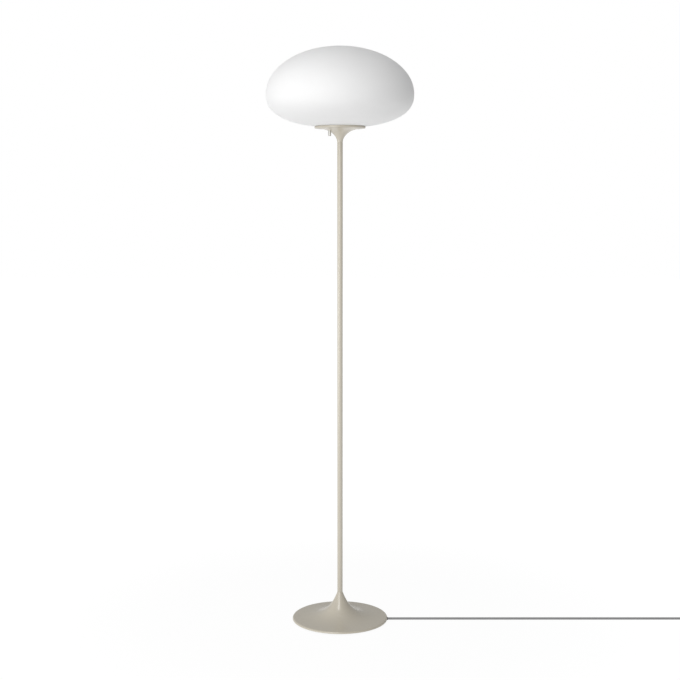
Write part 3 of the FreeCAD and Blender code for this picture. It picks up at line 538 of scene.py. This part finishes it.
# ------------------------------------------------------------------ collar and dish
# The collar is turned and opens like a second trumpet, drilled for the knob.
# The dish over it is pressed steel, with a softly rounded rim round the glass,
# which stands on a ring of clear silicone.
DISH_SHEET = 0.0015
DISH_EDGE, DISH_LIP, DISH_CORNER = 0.0007, 0.0006, 0.0004
dress(paint, "collar")
dish_low, dish_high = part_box("shade_plate")
dish_outline = rounded([
    (THREAD_ROOM, dish_low[2], 0),
    (dish_high[0], dish_low[2], DISH_EDGE),
    (dish_high[0], dish_high[2], DISH_LIP),
    (dish_high[0] - DISH_SHEET, dish_high[2], DISH_LIP),
    (dish_high[0] - DISH_SHEET, dish_low[2] + DISH_SHEET, DISH_CORNER),
    (THREAD_ROOM, dish_low[2] + DISH_SHEET, 0),
])
surface("dish", turned(dish_outline, 256), "stand", paint, "shade_plate",
        capped=False)
silicone, silicone_shader = finish("clear_silicone", (0.70, 0.71, 0.70), 0.38, patch=80,
                                   grain=1500, depth=0.000006)
silicone_shader.inputs["Subsurface Weight"].default_value = 0.4
silicone_shader.inputs["Subsurface Radius"].default_value = (1.0, 1.0, 1.0)
silicone_shader.inputs["Subsurface Scale"].default_value = 0.002
dress(silicone, "shade_gasket")

# ------------------------------------------------------------------ opal shade
# Mouth-blown opal glass, satin outside: half an ellipse over a fuller bowl,
# with a ground foot. It only rests in the dish and is lifted off by hand.
GLASS_WALL = 0.003
CROWN = 0.1197
FOOT_REACH = 0.0623
MOUTH = 0.0563
FULLNESS = 2.4
FOOT_ROUND = 0.0012
CURVE_POINTS = 60
glass_low, glass_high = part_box("opal_shade")
glass_radius = glass_high[0]
widest = glass_high[2] - CROWN
bowl_drop = widest - glass_low[2]


def crown(radius, rise):
    """Quarter ellipse from the widest line to the top: cosine out, sine up."""
    angle = np.linspace(0, np.pi / 2, CURVE_POINTS)[:-1]
    return np.column_stack([radius * np.cos(angle), widest + rise * np.sin(angle)])


def bowl(radius, drop, end):
    """Superellipse from an end radius out to the widest line.

    Radius is the sine, and depth the cosine, of the angle, each to the power
    of two over the fullness.
    """
    power = 2 / FULLNESS
    first = math.asin((end / radius) ** (1 / power))
    angle = np.linspace(first, np.pi / 2, CURVE_POINTS)
    return np.column_stack([radius * np.sin(angle) ** power,
                            widest - drop * np.maximum(np.cos(angle), 0) ** power])


inner_radius = glass_radius - GLASS_WALL
lining = np.vstack([bowl(inner_radius, bowl_drop - GLASS_WALL, MOUTH),
                    crown(inner_radius, CROWN - GLASS_WALL)[1:]])[::-1]
skin = np.vstack([bowl(glass_radius, bowl_drop, FOOT_REACH),
                  crown(glass_radius, CROWN)[1:]])
foot = rounded([
    (MOUTH, lining[-1, 1], 0),
    (MOUTH, glass_low[2], FOOT_ROUND),
    (FOOT_REACH, glass_low[2], FOOT_ROUND),
    (FOOT_REACH, skin[0, 1], 0),
])[1:-1]
opal, opal_shader = finish("opal_glass", (0.882, 0.883, 0.884), 0.65, patch=6, tint=0.004,
                           gloss_change=0.02, grain=900, depth=0.000003)
opal_shader.inputs["Subsurface Weight"].default_value = 0.8
opal_shader.inputs["Subsurface Radius"].default_value = (1.0, 1.0, 1.0)
opal_shader.inputs["Subsurface Scale"].default_value = 0.008
opal_shader.inputs["IOR"].default_value = 1.5
surface("shade_glass", turned(np.vstack([lining, foot, skin]), 256), "shade", opal,
        "opal_shade")

# ------------------------------------------------------------------ dimmer and knob
# A small moulded dimmer stands on the dish. Its brass bush goes down through
# the sheet, with a thin nut under it, and the slim satin knob hangs below.
CASE_CORNER = 0.0015
DIMMER_NUT_FLATS, DIMMER_NUT_BORE = 0.009, 0.0036
KNOB_AXIS = (-0.0266, -0.01275)
KNOB_BORE, KNOB_BORE_DEPTH = 0.002, 0.009
GROOVE_LOW, GROOVE_HIGH, GROOVE_DEPTH, GROOVE_SLOPE = 0.0018, 0.0026, 0.00025, 0.0002


def loop(half_x, half_y, corner, steps=6):
    """Rounded rectangles round the origin, to the left, one a row, as x and y.

    Each corner is a quarter circle, whose middle lies inwards from both sides
    by the corner's radius.
    """
    turn = np.linspace(0, np.pi / 2, steps + 1)
    angle = (turn + np.arange(4)[:, None] * np.pi / 2).ravel()
    to_x = np.repeat([1, -1, -1, 1], steps + 1)
    to_y = np.repeat([1, 1, -1, -1], steps + 1)
    return (to_x * (half_x - corner) + corner * np.cos(angle),
            to_y * (half_y - corner) + corner * np.sin(angle))


dimmer_white, _ = finish("dimmer_plastic", (0.78, 0.78, 0.76), 0.48, patch=120, tint=0.02,
                         grain=2600, depth=0.00001)
case_low, case_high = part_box("dimmer_body")
half_x, half_y = (case_high[0] - case_low[0]) / 2, (case_high[1] - case_low[1]) / 2
mid_x, mid_y = (case_high[0] + case_low[0]) / 2, (case_high[1] + case_low[1]) / 2
inset, share = np.array([  # of the wall and of the height: foot, lid seam, soft top edge
    (0.0004, 0.0), (0.0, 0.03), (0.0, 0.70), (0.00035, 0.71), (0.00035, 0.74), (0.0, 0.75),
    (0.0, 0.95), (0.0003, 0.985), (0.0009, 1.0), (0.0013, 1.0)]).T[:, :, None]
x, y = loop(half_x - inset, half_y - inset, CASE_CORNER)
surface("dimmer_case",
        points_at(mid_x + x, mid_y + y, case_low[2] + share * (case_high[2] - case_low[2])),
        "stand", dimmer_white, "dimmer_body", crease=30)
brass, _ = finish("brass", (0.70, 0.50, 0.22), 0.30, metallic=1.0, patch=150, tint=0.06,
                  grain=2200, depth=0.000004)
dress(brass, "dimmer_bush")
nut("dimmer_nut_chamfered", "dimmer_nut", DIMMER_NUT_FLATS, DIMMER_NUT_BORE, brass,
    KNOB_AXIS)
satin, _ = finish("knob_metal", (0.62, 0.61, 0.58), 0.30, metallic=0.85, patch=400, tint=0.04,
                  grain=3000, depth=0.000003)
dress(satin, "dimmer_spindle")
knob_low, knob_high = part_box("dimmer_knob")
knob_radius, knob_end = (knob_high[0] - knob_low[0]) / 2, knob_low[2]
knob_outline = rounded([
    (0.0006, knob_end + 0.00015, 0),
    (knob_radius - 0.0012, knob_end, 0.0005),
    (knob_radius, knob_end + 0.0005, 0.0004),
    (knob_radius, knob_end + GROOVE_LOW, 0),
    (knob_radius - GROOVE_DEPTH, knob_end + GROOVE_LOW + GROOVE_SLOPE, 0),
    (knob_radius - GROOVE_DEPTH, knob_end + GROOVE_HIGH - GROOVE_SLOPE, 0),
    (knob_radius, knob_end + GROOVE_HIGH, 0),
    (knob_radius, knob_high[2], 0.0004),
    (KNOB_BORE, knob_high[2], 0),
    (KNOB_BORE, knob_high[2] - KNOB_BORE_DEPTH, 0),
    (0.0004, knob_high[2] - KNOB_BORE_DEPTH, 0),
])
surface("knob", turned(knob_outline, 72, KNOB_AXIS), "knob", satin, "dimmer_knob")

# ------------------------------------------------------------------ lampholder
# White thermoplastic cap and fluted skirt, a ceramic disc with the contacts,
# and a pressed shell with the round thread that the bulb's cap screws into.
SKIRT_BORE = 0.0173
FLUTES, FLUTE_DEPTH = 36, 0.0005
SKIRT_COLUMNS = 288
THREAD_PITCH = 0.00363
SHELL_BORE, SHELL_SHEET, THREAD_DEPTH = 0.01345, 0.0004, 0.0005
holder_white, _ = finish("holder_plastic", (0.82, 0.82, 0.80), 0.42, patch=100, tint=0.02,
                         grain=2400, depth=0.000008)
dress(holder_white, "holder_cap")
ceramic, _ = finish("ceramic", (0.80, 0.79, 0.75), 0.75, patch=150, tint=0.04, grain=1600,
                    depth=0.00003)
dress(ceramic, "holder_insert")
dress(brass, "holder_centre_contact")
skirt_low, skirt_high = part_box("holder_skirt")
angle = np.linspace(0, 2 * np.pi, SKIRT_COLUMNS, endpoint=False)
share = np.array([0, 0.012, 0.03, 0.10, 0.56, 0.62, 0.66, 0.97, 0.99, 1.0])[:, None]
fluted = np.array([0, 0, 0, 1, 1, 0, 0, 0, 0, 0])[:, None]
inset = np.array([0.0005, 0.0001, 0, 0, 0, 0, 0, 0, 0.0002, 0.0006])[:, None]
flute = FLUTE_DEPTH * (0.5 - 0.5 * np.cos(FLUTES * angle))
skirt_reach = np.vstack([skirt_high[0] - inset - fluted * flute,
                         np.full((2, SKIRT_COLUMNS), SKIRT_BORE)])
skirt_z = skirt_low[2] + (skirt_high[2] - skirt_low[2]) * np.vstack([share, [[1.0]], [[0.0]]])
surface("holder_skirt_fluted", around(skirt_reach, skirt_z, angle), "stand",
        holder_white, "holder_skirt", capped=False)


def threaded(base, depth, low, high, fade_low, fade_high, rows, phase=0.0):
    """Reach, height and angle grids of a round thread.

    Reach is the base plus half the depth times one minus the cosine of the
    turns climbed less the angle. It fades to the base towards both ends.
    """
    height = np.linspace(low, high, rows)[:, None]
    angle = np.linspace(0, 2 * np.pi, 96, endpoint=False)
    wave = 0.5 - 0.5 * np.cos(2 * np.pi * height / THREAD_PITCH - angle + phase)
    ends = np.clip((height - low) / fade_low, 0, 1) * np.clip((high - height) / fade_high, 0, 1)
    return base + depth * wave * ends, height, angle


shell_metal, _ = finish("shell_metal", (0.70, 0.70, 0.69), 0.30, metallic=1.0, patch=180,
                        tint=0.05, grain=2600, depth=0.000004)
shell_low, shell_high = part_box("holder_thread_shell")
reach, height, angle = threaded(SHELL_BORE, THREAD_DEPTH, shell_low[2], shell_high[2],
                                fade_low=0.002, fade_high=0.003, rows=90)
shell_points = np.concatenate([around(reach + SHELL_SHEET, height, angle),
                               around(reach, height, angle)[::-1]])
surface("thread_shell", shell_points, "stand", shell_metal, "holder_thread_shell",
        capped=False, crease=60)

# ------------------------------------------------------------------ bulb
# A dimmable bulb: soldered tip, black glass insulator, pressed screw cap, white
# moulded body and a matt opal dome that is snapped over the body's edge.
CAP_DEPTH, CAP_COLLAR, CAP_SHOULDER, CAP_ROUND = 0.0008, 0.0039, 0.0032, 0.0003
BULB_NECK, BULB_WAIST, BULB_WAIST_SHARE = 0.014, 0.017, 0.42
BODY_EDGE, BODY_ROUND, BODY_MIDDLE = 0.002, 0.0005, 0.0006
BULB_RADIUS, BULB_WALL = 0.030, 0.0012
DOME_TOP = math.radians(89.0)
insulator_dark, _ = finish("insulator_dark", (0.020, 0.020, 0.022), 0.16, patch=200, grain=900,
                           depth=0.000002)
dress(insulator_dark, "bulb_insulator")
solder, _ = finish("solder", (0.58, 0.58, 0.57), 0.36, metallic=1.0, patch=500, tint=0.1,
                   grain=1500, depth=0.00002)
dress(solder, "bulb_tip")
cap_low, cap_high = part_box("bulb_cap")
reach, height, angle = threaded(cap_high[0] - CAP_DEPTH, CAP_DEPTH, cap_low[2],
                                cap_high[2] - 0.004, fade_low=0.0015, fade_high=0.0015, rows=80,
                                phase=math.pi)
cap_collar = turned(rounded([
    (cap_high[0] - CAP_DEPTH, cap_high[2] - CAP_COLLAR, 0),
    (cap_high[0], cap_high[2] - CAP_SHOULDER, CAP_ROUND),
    (cap_high[0], cap_high[2], 0),
]), 96)
surface("bulb_screw_cap", np.concatenate([around(reach, height, angle), cap_collar]), "bulb",
        shell_metal, "bulb_cap", crease=60)

# The body's flare is the parabola through neck, waist and rim: each of these
# radii times the two others' distances, over their distances from its own share.
bulb_white, _ = finish("bulb_plastic", (0.84, 0.84, 0.82), 0.36, patch=80, tint=0.01, grain=2000,
                       depth=0.000005)
body_low, body_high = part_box("bulb_body")
up, waist, rim = np.linspace(0, 1, 40), BULB_WAIST_SHARE, body_high[0]
flare = (BULB_NECK * (1 - up) * (1 - up / waist)
         + BULB_WAIST * up * (1 - up) / (waist * (1 - waist))
         + rim * up * (up - waist) / (1 - waist))
flare_start = body_low[2] + BODY_EDGE
flare_z = flare_start + up * (body_high[2] - flare_start)
body_outline = np.vstack([
    rounded([(BODY_MIDDLE, body_low[2], 0), (BULB_NECK, body_low[2], BODY_ROUND)]),
    np.column_stack([flare, flare_z])[:-1],
    (rim, body_high[2]),
    (BODY_MIDDLE, body_high[2]),
])
surface("bulb_body_moulded", turned(body_outline, 128), "bulb", bulb_white,
        "bulb_body")
bulb_opal, bulb_opal_shader = finish("bulb_opal", (0.90, 0.90, 0.88), 0.5, patch=40, tint=0.006,
                                     grain=1800, depth=0.000004)
bulb_opal_shader.inputs["Subsurface Weight"].default_value = 0.3
bulb_opal_shader.inputs["Subsurface Radius"].default_value = (1.0, 1.0, 1.0)
bulb_opal_shader.inputs["Subsurface Scale"].default_value = 0.006
dome_low, dome_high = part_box("bulb_dome")
dome_centre = dome_high[2] - BULB_RADIUS


def dome_curve(radius):
    """Circle's outline from the dome's lower edge up, as (radius, height)."""
    lowest = math.asin((dome_low[2] - dome_centre) / radius)
    angle = np.linspace(lowest, DOME_TOP, 60)
    return np.column_stack([radius * np.cos(angle), dome_centre + radius * np.sin(angle)])


dome_outline = np.vstack([dome_curve(BULB_RADIUS - BULB_WALL)[::-1], dome_curve(BULB_RADIUS)])
surface("bulb_dome_opal", turned(dome_outline, 128), "bulb", bulb_opal, "bulb_dome",
        crease=50)

# ------------------------------------------------------------------ wiring
# Three copper cores join the sheath's end, the dimmer and the contacts. Each has
# a thin, slightly glossy plastic skin: blue, brown or black.
for node, skin_name, colour in (
        ("neutral_core", "core_blue", (0.030, 0.10, 0.34)),
        ("live_core", "core_brown", (0.11, 0.045, 0.020)),
        ("switched_core", "core_black", (0.022, 0.022, 0.022))):
    core_skin, _ = finish(skin_name, colour, 0.42, patch=200, grain=2500, depth=0.000006)
    dress(core_skin, node)

# ------------------------------------------------------------------ plug
# Flat moulded plug in the cord's grey, with grip ribs on its sides, a ringed
# sleeve where the cord enters, and two sleeved pins.
RELIEF_NARROW, RELIEF_WIDE, RELIEF_RINGS, RING_DEPTH = 0.0042, 0.0056, 6, 0.0009
NECK_WIDTH, NECK_THICK, FACE_WIDTH, SHOULDER = 0.0065, 0.0061, 0.0115, 0.55
PLUG_ROUND, EDGE_ROUND, EDGE_SHARE = 0.003, 0.0006, 0.03
RIB_DEPTH, RIB_PITCH, RIBS_FROM, RIBS_TO = 0.00035, 0.055, 0.50, 0.83
plug_grey, _ = finish("plug_grey", (0.255, 0.255, 0.258), 0.66, patch=80, tint=0.04, grain=1500,
                      depth=0.00003)
relief_low, relief_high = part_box("plug_relief")
plug_x = (relief_low[0] + relief_high[0]) / 2
plug_z = (relief_low[2] + relief_high[2]) / 2
along = np.linspace(0, 1, 121)[:, None]
groove = np.clip(np.sin(2 * np.pi * RELIEF_RINGS * along) * 2.5, 0, 1)
groove = groove * (along > 0.04) * (along < 0.94)
reach = RELIEF_NARROW + (RELIEF_WIDE - RELIEF_NARROW) * along - RING_DEPTH * groove
angle = np.linspace(0, 2 * np.pi, 64, endpoint=False)
relief_y = relief_low[1] + (relief_high[1] - relief_low[1]) * along
plug_relief_ringed = surface(
    "plug_relief_ringed",
    points_at(plug_x + reach * np.sin(angle), relief_y, plug_z + reach * np.cos(angle)),
    "stand", plug_grey, "plug_relief", crease=30)

plug_low, plug_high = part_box("plug_body")
half_width, half_thick = (plug_high[0] - plug_low[0]) / 2, (plug_high[2] - plug_low[2]) / 2
along = np.concatenate([[0, 0.012], np.linspace(0.03, 0.97, 90), [0.988, 1.0]])[:, None]
smooth = np.clip(along / SHOULDER, 0, 1)
smooth = smooth * smooth * (3 - 2 * smooth)
after = np.clip((along - SHOULDER) / (1 - SHOULDER), 0, 1) ** 2
width = NECK_WIDTH + (half_width - NECK_WIDTH) * smooth - (half_width - FACE_WIDTH) * after
thick = NECK_THICK + (half_thick - NECK_THICK) * smooth
edge = EDGE_ROUND * np.clip(1 - np.minimum(along, 1 - along) / EDGE_SHARE, 0, 1)
ribs = RIB_DEPTH * (0.5 - 0.5 * np.cos(2 * np.pi * (along - RIBS_FROM) / RIB_PITCH))
ribs = ribs * (along > RIBS_FROM) * (along < RIBS_TO)
x, z = loop(width - edge - ribs, thick - edge, PLUG_ROUND)
plug_y = plug_low[1] + along * (plug_high[1] - plug_low[1])
plug_body_moulded = surface(
    "plug_body_moulded", points_at(plug_x - x, plug_y, plug_z + z),
    "stand", plug_grey, "plug_body", crease=30)
nickel, _ = finish("pin_nickel", (0.60, 0.57, 0.50), 0.26, metallic=1.0, patch=300, tint=0.04,
                   grain=2500, depth=0.000003)
dress(nickel, "plug_pins")
dress(insulator_dark, "plug_pin_sleeves")
